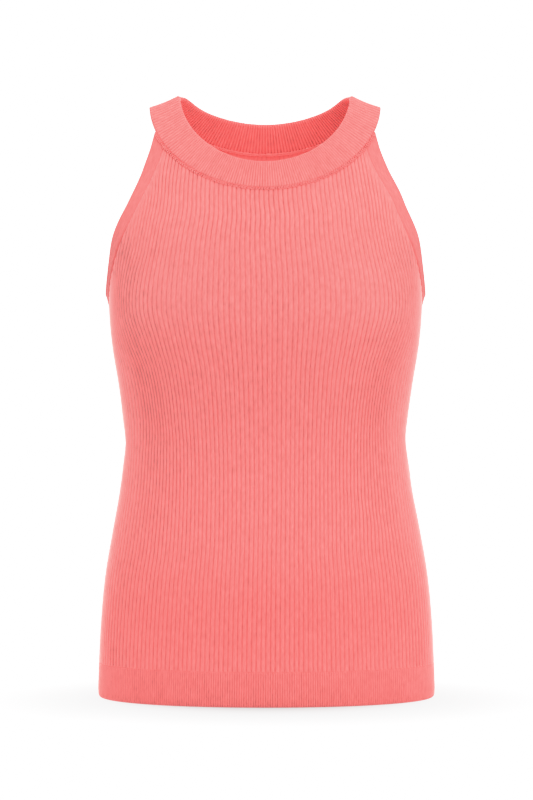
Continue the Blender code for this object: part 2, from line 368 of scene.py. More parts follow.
def add_node(tree, kind, inputs=None, **settings):
    """Adds a node with its settings, and sets its inputs or links them to sockets or to the
    first output of nodes."""
    node = tree.nodes.new(kind)
    for setting, value in settings.items():
        setattr(node, setting, value)
    for socket, value in (inputs or {}).items():
        if isinstance(value, bpy.types.Node):
            value = value.outputs[0]
        if isinstance(value, bpy.types.NodeSocket):
            tree.links.new(value, node.inputs[socket])
        else:
            node.inputs[socket].default_value = value
    return node


# A rib's section, its height being 1: a flat crown and a round swell on top; where the cloth
# itself lies; and the tone, between crown and valley, of cloth without ribs, which sets how much
# of the valleys' painted shade it takes
SWELL = 0.1
CLOTH_LINE = 0.55
PLAIN_TONE = 0.8
# Noise that makes ribs uneven, drawn out along them: turns a metre, 12.5 mm across a rib's
# own measure and 36 mm down it
UNEVEN_TURNS = (80, 28, 28)


def yarn_tree(name, sizes):
    """A Geometry Nodes tree that takes a shape, these sizes, a seed and a yarn."""
    tree = bpy.data.node_groups.new(name, "GeometryNodeTree")
    face = tree.interface
    face.new_socket("Geometry", in_out="INPUT", socket_type="NodeSocketGeometry")
    for socket in sizes:
        face.new_socket(socket, in_out="INPUT", socket_type="NodeSocketFloat")
    face.new_socket("Seed", in_out="INPUT", socket_type="NodeSocketInt")
    face.new_socket("Yarn", in_out="INPUT", socket_type="NodeSocketMaterial")
    face.new_socket("Geometry", in_out="OUTPUT", socket_type="NodeSocketGeometry")
    return tree


def rib_relief_tree():
    """Raises round ribs with narrow valleys on a shell, by its points' rib numbers."""
    tree = yarn_tree("rib_relief", ("Rib Height", "Valley Share", "Sway", "Unevenness"))
    given = add_node(tree, "NodeGroupInput").outputs
    rib, relief = (add_node(tree, "GeometryNodeInputNamedAttribute", {"Name": name},
                            data_type="FLOAT") for name in ("rib", "relief"))
    out, across, knit = (add_node(tree, "GeometryNodeInputNamedAttribute", {"Name": name},
                                  data_type="FLOAT_VECTOR") for name in ("out", "across", "knit"))
    off_valley = add_node(tree, "ShaderNodeMath", {0: rib, 1: 0.5}, operation="PINGPONG")
    # Where the relief is above 1 the valleys are wider, and their painted shade is wider and
    # darker too
    wider = add_node(tree, "ShaderNodeMath", {0: relief, 1: 1.0}, operation="MAXIMUM")
    wider = add_node(tree, "ShaderNodeMath",
                     {0: wider, 1: given["Valley Share"]}, operation="MULTIPLY")
    crown = add_node(tree, "ShaderNodeMapRange",
                     {"Value": off_valley, "From Max": wider,
                      "To Max": 1 - SWELL}, interpolation_type="SMOOTHSTEP")
    swell = add_node(tree, "ShaderNodeMath", {0: off_valley, 1: math.pi}, operation="MULTIPLY")
    swell = add_node(tree, "ShaderNodeMath", {0: swell}, operation="SINE")
    crown = add_node(tree, "ShaderNodeMath",
                     {0: swell, 1: SWELL, 2: crown}, operation="MULTIPLY_ADD")
    slow = add_node(tree, "ShaderNodeVectorMath", {0: knit, 1: UNEVEN_TURNS},
                    operation="MULTIPLY")
    uneven = add_node(tree, "ShaderNodeTexNoise", {"Vector": slow, "Scale": 1.0, "Detail": 2.0})
    uneven_height = add_node(tree, "ShaderNodeMath", {0: uneven.outputs["Fac"], 1: 0.5},
                             operation="SUBTRACT")
    scale = add_node(tree, "ShaderNodeMath",
                     {0: uneven_height, 1: given["Unevenness"], 2: 1.0}, operation="MULTIPLY_ADD")
    lift = add_node(tree, "ShaderNodeMath", {0: crown, 1: CLOTH_LINE}, operation="SUBTRACT")
    for times in (given["Rib Height"], scale, relief):
        lift = add_node(tree, "ShaderNodeMath", {0: lift, 1: times}, operation="MULTIPLY")
    swayed = add_node(tree, "ShaderNodeTexNoise",
                      {"Vector": slow, "Scale": 0.8, "Detail": 1.0,
                       "W": given["Seed"]}, noise_dimensions="4D")
    side = add_node(tree, "ShaderNodeMath", {0: swayed.outputs["Fac"], 1: 0.5},
                    operation="SUBTRACT")
    for times in (given["Sway"], relief):
        side = add_node(tree, "ShaderNodeMath", {0: side, 1: times}, operation="MULTIPLY")
    up = add_node(tree, "ShaderNodeVectorMath", {0: out, "Scale": lift}, operation="SCALE")
    over = add_node(tree, "ShaderNodeVectorMath", {0: across, "Scale": side}, operation="SCALE")
    move = add_node(tree, "ShaderNodeVectorMath", {0: up, 1: over})
    tone = add_node(tree, "ShaderNodeMix",
                    {"Factor": relief, "A": PLAIN_TONE, "B": crown},
                    data_type="FLOAT", clamp_factor=False)
    marked = add_node(tree, "GeometryNodeStoreNamedAttribute",
                      {"Geometry": given["Geometry"], "Name": "crown",
                       "Value": tone.outputs["Result"]}, data_type="FLOAT", domain="POINT")
    moved = add_node(tree, "GeometryNodeSetPosition", {"Geometry": marked, "Offset": move})
    real = add_node(tree, "GeometryNodeRealizeInstances", {"Geometry": moved})
    dyed = add_node(tree, "GeometryNodeSetMaterial",
                    {"Geometry": real, "Material": given["Yarn"]})
    add_node(tree, "NodeGroupOutput", {"Geometry": dyed})
    return tree


def grow(piece, tree, **inputs):
    """Runs a tree on a piece with these inputs, and keeps the result as its plain mesh."""
    modifier = piece.modifiers.new(tree.name, "NODES")
    modifier.node_group = tree
    for socket in tree.interface.items_tree:
        key = socket.name.replace(" ", "_").lower()
        if socket.in_out == "INPUT" and key in inputs:
            modifier[socket.identifier] = inputs[key]
    graph = bpy.context.evaluated_depsgraph_get()
    mesh = bpy.data.meshes.new_from_object(piece.evaluated_get(graph), depsgraph=graph)
    mesh.name = piece.name
    piece.modifiers.clear()
    piece.data = mesh
    return piece


def linear(sheet):
    """Linear colour of an sRGB hex value."""
    parts = [int(sheet[i:i + 2], 16) / 255 for i in (1, 3, 5)]
    return (*(p / 12.92 if p <= 0.04045 else ((p + 0.055) / 1.055)**2.4 for p in parts), 1.0)


# Uneven dye: the size of its patches across and down the ribs, in mm, their detail and
# roughness, and the deepest and palest they make the knit
DYE_PATCHES = (
    # blotches
    (6.667, 16.13, 3.0, 0.6, 0.94, 1.06),
    # heather, drawn coarser than real so that it shows
    (1.4286, 6.25, 2.0, 0.5, 0.89, 1.11),
)
FUZZ_GRAIN = 1.1111
STITCH_HEIGHT = 0.22
LOOSE_FIBRE = "#FFE9E6"


def knit_material(name, stretched_and_lit_coral, relaxed_and_shaded_coral, valley_shade, ribs_apart, wale, course, plump, fluff):
    """Cotton knit: V stitches of this wale width and course height in mm, more or less plump and
    fluffy. Its colour runs from the deeper coral, where it lies relaxed and where shade is
    painted, to the paler coral, where it is stretched and where light is painted, and the valley
    colour paints shade between the ribs. Real stitches are about half as large: these are drawn
    coarser, so that they show."""
    material = bpy.data.materials.new(name)
    material.use_nodes = True
    tree = material.node_tree
    tree.nodes.clear()
    knit, crown, stretch, face = (add_node(tree, "ShaderNodeAttribute", attribute_name=name)
                                  for name in ("knit", "crown", "stretch", "out"))
    # Stitches: two legs lean together in each wale, one stitch to a course
    stitch = add_node(tree, "ShaderNodeMapping",
                      {"Vector": knit.outputs["Vector"],
                       "Scale": (1000 / wale, 1000 / course, 1.0)})
    parts = add_node(tree, "ShaderNodeSeparateXYZ", {0: stitch})
    leg = add_node(tree, "ShaderNodeMath", {0: parts.outputs["X"], 1: 0.5}, operation="PINGPONG")
    slant, row_share, fuzz_share = 1.1, 0.35, 0.9
    lean = add_node(tree, "ShaderNodeMath",
                    {0: leg, 1: slant, 2: parts.outputs["Y"]}, operation="MULTIPLY_ADD")
    waves = []
    for turns in (lean, leg):
        wave = add_node(tree, "ShaderNodeMath", {0: turns, 1: 2 * math.pi}, operation="MULTIPLY")
        waves.append(add_node(tree, "ShaderNodeMath", {0: wave}, operation="SINE"))
    height = add_node(tree, "ShaderNodeMath", {0: waves[0], 1: row_share, 2: waves[1]},
                      operation="MULTIPLY_ADD")
    fuzz = add_node(tree, "ShaderNodeTexNoise",
                    {"Vector": knit.outputs["Vector"], "Scale": 1000 / FUZZ_GRAIN, "Detail": 3.0})
    height = add_node(tree, "ShaderNodeMath",
                      {0: fuzz.outputs["Fac"], 1: fuzz_share, 2: height},
                      operation="MULTIPLY_ADD")
    bump = add_node(tree, "ShaderNodeBump",
                    {"Height": height, "Strength": plump, "Distance": STITCH_HEIGHT * MM})
    # The two wales of a crown part along its middle in a faint line
    across = add_node(tree, "ShaderNodeMath", {0: parts.outputs["X"], 1: wale / ribs_apart},
                      operation="MULTIPLY")
    apart = add_node(tree, "ShaderNodeMath", {0: across, 1: 0.5}, operation="PINGPONG")
    parting = add_node(tree, "ShaderNodeMapRange",
                       {"Value": apart, "From Min": 0.41, "From Max": 0.5,
                        "To Min": 1.0, "To Max": 0.90}, interpolation_type="SMOOTHSTEP")
    shade = parting
    for wide, long, detail, roughness, deepest, palest in DYE_PATCHES:
        drawn = add_node(tree, "ShaderNodeMapping",
                         {"Vector": knit.outputs["Vector"],
                          "Scale": (1000 / wide, 1000 / long, 1.0)})
        patches = add_node(tree, "ShaderNodeTexNoise",
                           {"Vector": drawn, "Scale": 1.0, "Detail": detail,
                            "Roughness": roughness})
        taken = add_node(tree, "ShaderNodeMapRange",
                         {"Value": patches.outputs["Fac"], "From Min": 0.3,
                          "From Max": 0.7, "To Min": deepest, "To Max": palest})
        shade = add_node(tree, "ShaderNodeMath", {0: shade, 1: taken}, operation="MULTIPLY")
    # The colour runs from the deeper coral to the paler one with the stretch and the painted
    # light and shade
    base = add_node(tree, "ShaderNodeMix",
                    {"Factor": stretch.outputs["Fac"], "A": linear(relaxed_and_shaded_coral),
                     "B": linear(stretched_and_lit_coral)}, data_type="RGBA")
    # Painted shade: the valley colour darkens the knit between the ribs
    in_valley_shade = add_node(tree, "ShaderNodeMath", {0: 1.0, 1: crown.outputs["Fac"]},
                    operation="SUBTRACT")
    valley_shaded = add_node(tree, "ShaderNodeMix",
                      {"Factor": in_valley_shade, "A": base.outputs["Result"],
                       "B": linear(valley_shade)}, data_type="RGBA", blend_type="MULTIPLY",
                      clamp_factor=False)
    dyed = add_node(tree, "ShaderNodeVectorMath",
                    {0: valley_shaded.outputs["Result"], "Scale": shade}, operation="SCALE")
    cotton = add_node(tree, "ShaderNodeBsdfPrincipled",
                      {"Base Color": dyed, "Roughness": 0.9, "IOR": 1.5,
                       "Specular IOR Level": 0.25, "Sheen Weight": 0.3,
                       "Sheen Roughness": 0.3, "Sheen Tint": linear(LOOSE_FIBRE),
                       "Normal": bump})
    # Loose fibres stand off the whole face, and light it palest where it turns away
    on_crown = add_node(tree, "ShaderNodeMapRange",
                        {"Value": crown.outputs["Fac"], "To Min": 0.4 * fluff, "To Max": fluff})
    fibres = add_node(tree, "ShaderNodeVectorMath",
                      {0: linear(LOOSE_FIBRE)[:3], "Scale": on_crown}, operation="SCALE")
    bloom = add_node(tree, "ShaderNodeBsdfSheen",
                     {"Color": fibres, "Roughness": 0.25, "Normal": face.outputs["Vector"]})
    both = add_node(tree, "ShaderNodeAddShader", {0: cotton, 1: bloom})
    add_node(tree, "ShaderNodeOutputMaterial", {"Surface": both})
    return material


# Ribs too many for a level crowd towards the sides, fully so below the armholes; where, as
# a share of the way to the side, the bow ends and ribs are gathered, and over how wide a part
CROWD_LEVEL, CROWD_RUN = -120, 80
BOW_END = 1.2
GATHER_PLACE, GATHER_SPREAD = 0.65, 0.14


def rib_angles(level, back, columns):
    """Angle from a panel's middle of each numbered rib at a level, in degrees, and the
    curve of rib numbers against angles that it is read from."""
    turn = np.linspace(-90, 90, 181)
    ring = body_point(np.full(len(turn), level), 180 - turn if back else turn)
    # The ribs are spread along the ring, its own rise and fall counted by half
    step = np.linalg.norm(np.diff(ring, axis=0) * (1, 1, 0.5), axis=1)
    along = np.concatenate([[0], np.cumsum(step)]) - step[:len(turn) // 2].sum()
    pitch, sway, bow, gather, lean = smooth_row(RIB_PITCH, level)
    side = along[-1]
    share = along / side
    crowd = (RIBS_TO_SIDE - side / pitch) * fade(CROWD_LEVEL - level, CROWD_RUN)
    sideways = (sway + lean * fade(-share, 0.3)) * (1 - share**2)
    number = (along - sideways) / pitch + crowd * share**3
    number += bow * np.sin(math.pi * share / BOW_END)**3 * (1 - share**6)
    off_gather = (np.abs(share) - GATHER_PLACE) / GATHER_SPREAD
    number += gather * np.sign(share) * np.exp(-off_gather**2)
    return np.interp(columns, number, turn), np.stack([turn, number])


def panel_cloth(levels, turn, back):
    """A panel's cloth on rows of turns from its middle: its levels, angles, points, outward
    normals and directions along the row, and how many mm a degree is at the side."""
    level = levels[:, None] + 0 * turn
    angle = 180 - turn if back else turn
    mm_a_degree = smooth_row(RINGS, level)[..., 1] * math.pi / 180
    return level, angle, *cloth(level, angle), unit(body_along(level, angle)), mm_a_degree


# Soft cotton, ribbed 2 by 1 and brushed by wear: matt, with a pale bloom where it turns away, and
# painted shade in the valleys between its ribs
rib_knit = knit_material("rib_knit_cotton", "#FF8C8A", "#F47674", "#DCDEDE",
                         ribs_apart=KNIT_PITCH, wale=1.5, course=2.0, plump=0.35, fluff=1.0)
rib_relief = rib_relief_tree()

# The panels' edges: their radii at the neck, hem and side, the degrees they stop short of
# the armhole band, and a sliver that keeps the side's edge from closing to nothing
NECK_RADIUS, FOOT_RADIUS, SIDE_RADIUS = 0.8, 0.25, 1.0
ARM_EDGE_SHORT = 0.08
EDGE_LEFT = 0.02
# The ribs start this far from the side's edge, and further off beside the armholes
SIDE_MARGIN, ARM_MARGIN = 2.5, 6.5
MARGIN_LEVEL, MARGIN_RUN = -145, 45
# Inside, the ribs are shallower, painted shade deepens their tone, and they stand behind the
# outer valleys
INSIDE_RELIEF, INSIDE_SHADED_STRETCH = 0.35, 0.5

numbers = np.array([rib + part for rib in range(-RIBS_TO_SIDE, RIBS_TO_SIDE)
                    for part in RIB_COLUMNS] + [RIBS_TO_SIDE], dtype=float)
for name, node, back, cut, cut_area in (
        ("front_panel_knit", "front_panel", False, (0.434, 0.525), 0.176),
        ("back_panel_knit", "back_panel", True, (0.434, 0.535), 0.178)):
    # Rows run down the armhole seam, then down the side, closer together at both ends
    places = np.concatenate([[0, 0.02, 0.06, 0.12], np.linspace(0.25, UNDERARM, 32)])
    if back:
        places = NECK_END_BACK - places
    seams = smooth_row(ARMHOLE, places)
    bottom = HEM_BAND_TOP - HEM_LAP
    lower = np.linspace(seams[-1, 0], bottom + 3, 48)[1:]
    levels = np.concatenate([seams[:, 0], lower, bottom + np.array([1.6, 0.8, 0.25, 0])])
    reaches = np.concatenate([180 - seams[:, 1] if back else seams[:, 1],
                              np.full(len(levels) - len(seams), 90.0)])
    turns, ribs = [], []
    for level, reach in zip(levels, reaches):
        turn, known = rib_angles(level, back, numbers)
        edge = reach - ARM_EDGE_SHORT * (reach < 90)
        turns.append(np.clip(turn, -edge, edge))
        ribs.append(np.clip(numbers, *np.interp([-edge, edge], known[0], known[1])))
    turn, rib = np.array(turns), np.array(ribs)
    level, angle, point, normal, along, mm_a_degree = panel_cloth(levels, turn, back)
    edge, over, out = neck_frame(angle[0])
    point[0], normal[0] = edge + SEAM_GAP * over, out
    to_side = (reaches[:, None] - np.abs(turn)) * mm_a_degree
    to_top, to_bottom = levels[0] - level, level - levels[-1]
    half = PANEL_WALL / 2 * rounding(to_top, NECK_RADIUS) * rounding(to_bottom, FOOT_RADIUS)
    open_side = np.arange(len(levels)) >= len(seams) - 1
    half[open_side] *= rounding(to_side[open_side] + EDGE_LEFT, SIDE_RADIUS)
    margin = SIDE_MARGIN + ARM_MARGIN * fade(level - MARGIN_LEVEL, MARGIN_RUN)
    # The ribs flatten into the seams over some 2 mm
    relief = fade(to_top + 0.4, 2.0) * fade(to_bottom + 0.6, 2.2) * fade(to_side + 0.2, margin)
    relief *= np.array([np.interp(np.abs(line), RIB_DEPTH_TURNS, depths)
                        for line, depths in zip(turn, smooth_row(RIB_DEPTH, levels))])
    sunk = ARM_SEAM_SINK * (1 - fade(to_side, 2.2)) * fade(SINK_LEVEL - level, SINK_RUN)
    sunk[open_side] = 0
    sunk += NECK_SEAM_SINK * (1 - fade(to_top, 3.0))
    middle = point - (PANEL_WALL / 2 + sunk)[..., None] * normal
    knit = np.stack([rib * KNIT_PITCH * MM, -point[..., 2] * MM, 0 * rib], axis=-1)
    # How stretched the knit is, with painted light and shade, level by level
    stretch = stretch_and_light_at(point[..., 2], turn)
    panel = knit_shell(name, middle, half, normal, along, rib=(rib, rib + 0.5),
                       relief=(relief, relief * INSIDE_RELIEF),
                       knit=(knit, knit + PANEL_SHIFT),
                       stretch=(stretch, stretch * INSIDE_SHADED_STRETCH))
    grow(panel, rib_relief, rib_height=0.00095, valley_share=0.155, sway=0.0006,
         unevenness=0.8, seed=4, yarn=rib_knit)
    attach(panel, "root")
    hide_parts(node)


# Neckband
# One strip of fine-rib knit folded double round the neck, its raw edges linked to the
# panels; between the armholes it runs free over the shoulders as both straps.
NECKBAND_THICK = 4.0
NECKBAND_PROUD = 0.8
NECKBAND_PLUMP = 0.35
NECKBAND_STRETCH = 0.9
SEAM_RADIUS, FOLD_RADIUS = 1.2, 2.4
FINE_PITCH = 2.2
# The straps sag between seam and fold, at an angle from centre front and over a spread
STRAP_SAG, SAG_ANGLE, SAG_SPREAD = 1.3, 88, 22
BAND_RIB_COLUMNS = (0, 0.22, 0.5, 0.78)
BAND_PITCH = np.array([
    # angle from centre back, pitch
    (0, 2.75),
    (60, 2.75),
    (92, 3.7),
    (118, 3.3),
    (145, 2.35),
    (180, 2.2),
], dtype=float)

# The same cotton in fine rib: closer, so a little deeper in tone, and less fluffy, with painted
# shade in the valleys between its ribs
fine_rib = knit_material("fine_rib_cotton", "#FE8B89", "#F47674", "#E0D8D8",
                         ribs_apart=FINE_PITCH, wale=1.1, course=1.6, plump=0.25, fluff=0.9)
fine = np.linspace(180, 540, 1441)
edge, over, out = neck_frame(fine)
width = np.linalg.norm(edge - neck_fold(fine), axis=-1)
middle = edge - over * width[:, None] / 2
step = np.linalg.norm(np.diff(middle, axis=0), axis=1)
from_back = 180 - np.abs((fine[:-1] + fine[1:]) / 2 - 360)
number = np.concatenate([[0], np.cumsum(step / smooth_row(BAND_PITCH, from_back)[:, 0])])
band_ribs = round(number[-1])
columns = np.array([rib + part for rib in range(band_ribs) for part in BAND_RIB_COLUMNS]
                   + [band_ribs], dtype=float)
angle = np.interp(columns, number * band_ribs / number[-1], fine)[:, None]
angle[-1] = 540
share = np.array([0, 0.008, 0.03, 0.07, 0.14, 0.25, 0.4, 0.55, 0.7, 0.82, 0.9, 0.945, 0.975,
                  0.993, 1.0])[None, :]
edge, over, out = neck_frame(angle)
width = np.linalg.norm(edge - neck_fold(angle), axis=-1)
inward = share * width
off_sag = (np.abs(angle - 360) - SAG_ANGLE) / SAG_SPREAD
sag = STRAP_SAG * np.exp(-off_sag**2) * np.sin(math.pi * share)
middle = (edge - inward[..., None] * over
          + (NECKBAND_PROUD - NECKBAND_THICK / 2 - sag)[..., None] * out)
folded = rounding(width - inward, FOLD_RADIUS)
half = NECKBAND_THICK / 2 * rounding(inward, SEAM_RADIUS) * folded
half = half + NECKBAND_PLUMP * np.sin(math.pi * share) * folded
along = unit(np.cross(over, out)) + 0 * middle
out = out + 0 * middle
rib = columns[:, None] + 0 * share
relief = fade(inward + 0.3, 1.6)
knit = np.stack([rib * FINE_PITCH * MM, inward * MM, 0 * rib], axis=-1)
stretch = np.full(rib.shape, NECKBAND_STRETCH)
# The half folded inside has its ribs a little deeper, and painted shade deepens its tone
neckband = knit_shell("neckband_knit", middle, half, out, along, rib=(rib, rib),
                      relief=(relief, relief * 1.2), knit=(knit, knit + BAND_SHIFT),
                      stretch=(stretch, stretch * 0.05), ring=True)
grow(neckband, rib_relief, rib_height=0.0011, valley_share=0.3, sway=0.0005,
     unevenness=1.0, seed=4, yarn=fine_rib)
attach(neckband, "root")
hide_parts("neckband")


# Armhole bands
# Narrow strips of plain knit linked round each armhole, with a softly rolled free edge;
# their ends are caught in the neckband seam.
ARM_BAND_WALL = 2.8
ARM_SEAM_RADIUS, ARM_EDGE_RADIUS = 0.9, 1.5
# The free edge's roll, how far in from it, and how wide
ARM_BAND_ROLL, ROLL_IN, ROLL_WIDTH = 0.5, 1.8, 1.4
# How far the ends are tucked under the neckband, and how pale the band is: painted shade darkens
# it at the underarm, and fades out over a run above it
ARM_END_TUCK = 1.2
ARM_BAND_STRETCH, PAINTED_SHADE_LEVEL, PAINTED_SHADE_RUN = 0.58, -195, 70

# Plain jersey side of the same yarn: smooth, so the light bloom lies evenly on it; its deep coral
# is painted shade, under the arm and inside the band
plain_knit = knit_material("plain_knit_cotton", "#FE8F8D", "#E2605F", "#FFFFFF",
                           ribs_apart=1000, wale=1.3, course=1.5, plump=0.3, fluff=0.15)
for name, node, side in (("armhole_band_left_knit", "armhole_band_left", 1),
                         ("armhole_band_right_knit", "armhole_band_right", -1)):
    place = np.linspace(0, NECK_END_BACK, 161)[:, None]
    share = np.array([0, 0.02, 0.06, 0.13, 0.24, 0.38, 0.52, 0.66, 0.78, 0.87, 0.93, 0.97,
                      0.992, 1.0])[None, :]
    row = smooth_row(ARMHOLE, place[:, 0])[:, None, :]
    level = row[..., 0] + (row[..., 2] - row[..., 0]) * share
    angle = side * (row[..., 1] + (row[..., 3] - row[..., 1]) * share)
    point, normal = cloth(level, angle)
    for end in (0, -1):
        edge, over, out = neck_frame(angle[end])
        tuck = SEAM_GAP - ARM_END_TUCK * fade(share[0] - 0.7, 0.3)[:, None]
        point[end], normal[end] = edge + tuck * over, out
    point = point + (row[..., 4] * share)[..., None] * normal
    width = np.linalg.norm(np.diff(point, axis=1), axis=2).sum(1)[:, None]
    to_seam, to_edge = share * width, (1 - share) * width
    roll = ARM_BAND_ROLL * np.exp(-((to_edge - ROLL_IN) / ROLL_WIDTH)**2)
    run = np.cumsum(np.linalg.norm(np.diff(point[:, 0], axis=0, prepend=point[:1, 0]), axis=1))
    run = run[:, None] + 0 * to_seam
    half = ((ARM_BAND_WALL / 2 + roll) * rounding(to_seam + 0.05, ARM_SEAM_RADIUS)
            * rounding(to_edge, ARM_EDGE_RADIUS))
    sunk = ARM_SEAM_SINK * (1 - fade(to_seam, 1.6)) * fade(SINK_LEVEL - level, SINK_RUN)
    middle = point - (ARM_BAND_WALL / 2 + sunk)[..., None] * normal
    along = unit(np.gradient(point, axis=0))
    knit = np.stack([to_seam * MM, run * MM, 0 * run], axis=-1)
    flat = np.zeros(level.shape)
    # Painted shade: the band is deeper in tone under the arm, and deepest all over its inside
    stretch = ARM_BAND_STRETCH * fade(level - PAINTED_SHADE_LEVEL, PAINTED_SHADE_RUN)
    band = knit_shell(name, middle, half, normal, along, rib=(flat, flat),
                      relief=(flat, flat), knit=(knit, knit + BAND_SHIFT),
                      stretch=(stretch, flat))
    grow(band, rib_relief, rib_height=0.0, valley_share=0.3, sway=0.0, unevenness=0.0,
         seed=4, yarn=plain_knit)
    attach(band, "root")
    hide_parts(node)


# Hem bands
# A fine-rib band linked to the foot of each panel, two fine ribs to every wide one, with a
# soft rounded lower edge that draws in slightly.
HEM_WALL = 2.4
HEM = -569.3
HEM_RADIUS = 1.6
HEM_DRAWN_IN, DRAWN_IN_RUN = 2.5, 7.5

numbers = np.array([rib + part for rib in np.arange(-RIBS_TO_SIDE, RIBS_TO_SIDE, 0.5)
                    for part in (0, 0.12, 0.25, 0.38)] + [RIBS_TO_SIDE], dtype=float)
for name, node, back in (("hem_band_front_knit", "hem_band_front", False),
                         ("hem_band_back_knit", "hem_band_back", True)):
    top = HEM_BAND_TOP + HEM_LAP
    levels = np.concatenate([top - np.array([0, 0.1, 0.25, 2, 4]),
                             np.linspace(top - 8, HEM + 3.2, 5),
                             HEM + np.array([2, 1.1, 0.5, 0.15, 0])])
    turn = np.array([np.clip(rib_angles(level, back, numbers)[0], -90, 90) for level in levels])
    rib = numbers[None, :] + 0 * turn
    level, angle, point, normal, along, mm_a_degree = panel_cloth(levels, turn, back)
    to_side = (90 - np.abs(turn)) * mm_a_degree
    to_top, to_bottom = levels[0] - level, level - HEM
    half = (HEM_WALL / 2 * rounding(to_top, FOOT_RADIUS) * rounding(to_bottom, HEM_RADIUS)
            * rounding(to_side + EDGE_LEFT, SIDE_RADIUS))
    drawn_in = HEM_DRAWN_IN * (1 - rounding(to_bottom, DRAWN_IN_RUN))
    middle = point - (HEM_WALL / 2 + drawn_in)[..., None] * normal
    relief = fade(to_top + 0.3, 1.5) * fade(to_side + 0.1, 1.5) * (0.6 + 0.4 * fade(to_bottom, 3))
    knit = np.stack([rib * KNIT_PITCH * MM, -point[..., 2] * MM, 0 * rib], axis=-1)
    stretch = stretch_and_light_at(point[..., 2], turn)
    # Painted shade gives the band's inside its deepest tone, and the outside takes painted light
    # and shade with its stretch
    hem_band = knit_shell(name, middle, half, normal, along, rib=(rib * 2, rib * 2 + 0.5),
                          relief=(relief, relief), knit=(knit, knit + PANEL_SHIFT),
                          stretch=(stretch, stretch * 0))
    grow(hem_band, rib_relief, rib_height=0.0008, valley_share=0.3, sway=0.0005,
         unevenness=1.0, seed=4, yarn=fine_rib)
    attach(hem_band, "root")
    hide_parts(node)


# Linked seams
# The bands are linked on loop by loop, which leaves a chain of small slanting stitches
# along each seam, in the garment's own yarn.
def linking_tree():
    """Sets pairs of slanting stitches along a line of edges, flat on the cloth."""
    tree = yarn_tree("linking", ("Stitch Length", "Yarn Width"))
    given = add_node(tree, "NodeGroupInput").outputs
    line = add_node(tree, "GeometryNodeMeshToCurve", {0: given["Geometry"]})
    steps = add_node(tree, "GeometryNodeResampleCurve",
                     {"Curve": line, "Length": given["Stitch Length"]}, mode="LENGTH")
    loop = add_node(tree, "GeometryNodeMeshUVSphere", {"Segments": 8, "Rings": 5, "Radius": 0.5})
    overlap = 1.25
    longer = add_node(tree, "ShaderNodeMath", {0: given["Stitch Length"], 1: overlap},
                      operation="MULTIPLY")
    size = add_node(tree, "ShaderNodeCombineXYZ",
                    {0: longer, 1: given["Yarn Width"], 2: given["Yarn Width"]})
    legs = add_node(tree, "GeometryNodeJoinGeometry")
    for lean, across in ((0.5, 0.42), (-0.5, -0.42)):
        aside = add_node(tree, "ShaderNodeMath", {0: given["Yarn Width"], 1: across},
                         operation="MULTIPLY")
        place = add_node(tree, "ShaderNodeCombineXYZ", {1: aside})
        leg = add_node(tree, "GeometryNodeTransform",
                       {"Geometry": loop, "Translation": place,
                        "Rotation": (0, 0, lean), "Scale": size})
        tree.links.new(leg.outputs[0], legs.inputs[0])
    tangent = add_node(tree, "GeometryNodeInputTangent")
    out = add_node(tree, "GeometryNodeInputNamedAttribute", {"Name": "out"},
                   data_type="FLOAT_VECTOR")
    turned = add_node(tree, "FunctionNodeAlignRotationToVector", {"Vector": tangent}, axis="X")
    turned = add_node(tree, "FunctionNodeAlignRotationToVector",
                      {"Rotation": turned, "Vector": out}, axis="Z", pivot_axis="X")
    uneven = add_node(tree, "FunctionNodeRandomValue",
                      {2: 0.8, 3: 1.15, "Seed": given["Seed"]}, data_type="FLOAT")
    sewn = add_node(tree, "GeometryNodeInstanceOnPoints",
                    {"Points": steps, "Instance": legs,
                     "Rotation": turned, "Scale": uneven.outputs[1]})
    real = add_node(tree, "GeometryNodeRealizeInstances", {"Geometry": sewn})
    smooth = add_node(tree, "GeometryNodeSetShadeSmooth", {"Geometry": real})
    dyed = add_node(tree, "GeometryNodeSetMaterial",
                    {"Geometry": smooth, "Material": given["Yarn"]})
    add_node(tree, "NodeGroupOutput", {"Geometry": dyed})
    return tree


def seam_line(name, points, out):
    """Line of edges along a seam, in mm, carrying the cloth's outward direction."""
    mesh = bpy.data.meshes.new(name)
    mesh.from_pydata((points * MM).tolist(), [(i, i + 1) for i in range(len(points) - 1)], [])
    mesh.attributes.new("out", "FLOAT_VECTOR", "POINT").data.foreach_set(
        "vector", np.ascontiguousarray(out, dtype=np.float32).ravel())
    return add_object(name, mesh)


linking = linking_tree()
# Soft cotton yarn: matt, with fine twisted strands that show as a faint roughness
TWIST_GRAIN, TWIST_DEPTH = 0.45455, 0.2
linking_yarn = bpy.data.materials.new("linking_yarn_cotton")
linking_yarn.use_nodes = True
tree = linking_yarn.node_tree
shader = tree.nodes["Principled BSDF"]
for socket, value in (("Base Color", linear("#F57F7D")), ("Roughness", 0.85),
                      ("Specular IOR Level", 0.25), ("Sheen Weight", 0.3)):
    shader.inputs[socket].default_value = value
place = add_node(tree, "ShaderNodeTexCoord")
strands = add_node(tree, "ShaderNodeTexNoise",
                   {"Vector": place.outputs["Object"], "Scale": 1000 / TWIST_GRAIN,
                    "Detail": 2.0})
twist = add_node(tree, "ShaderNodeBump",
                 {"Height": strands.outputs["Fac"], "Strength": 0.4,
                  "Distance": TWIST_DEPTH * MM})
tree.links.new(twist.outputs[0], shader.inputs["Normal"])

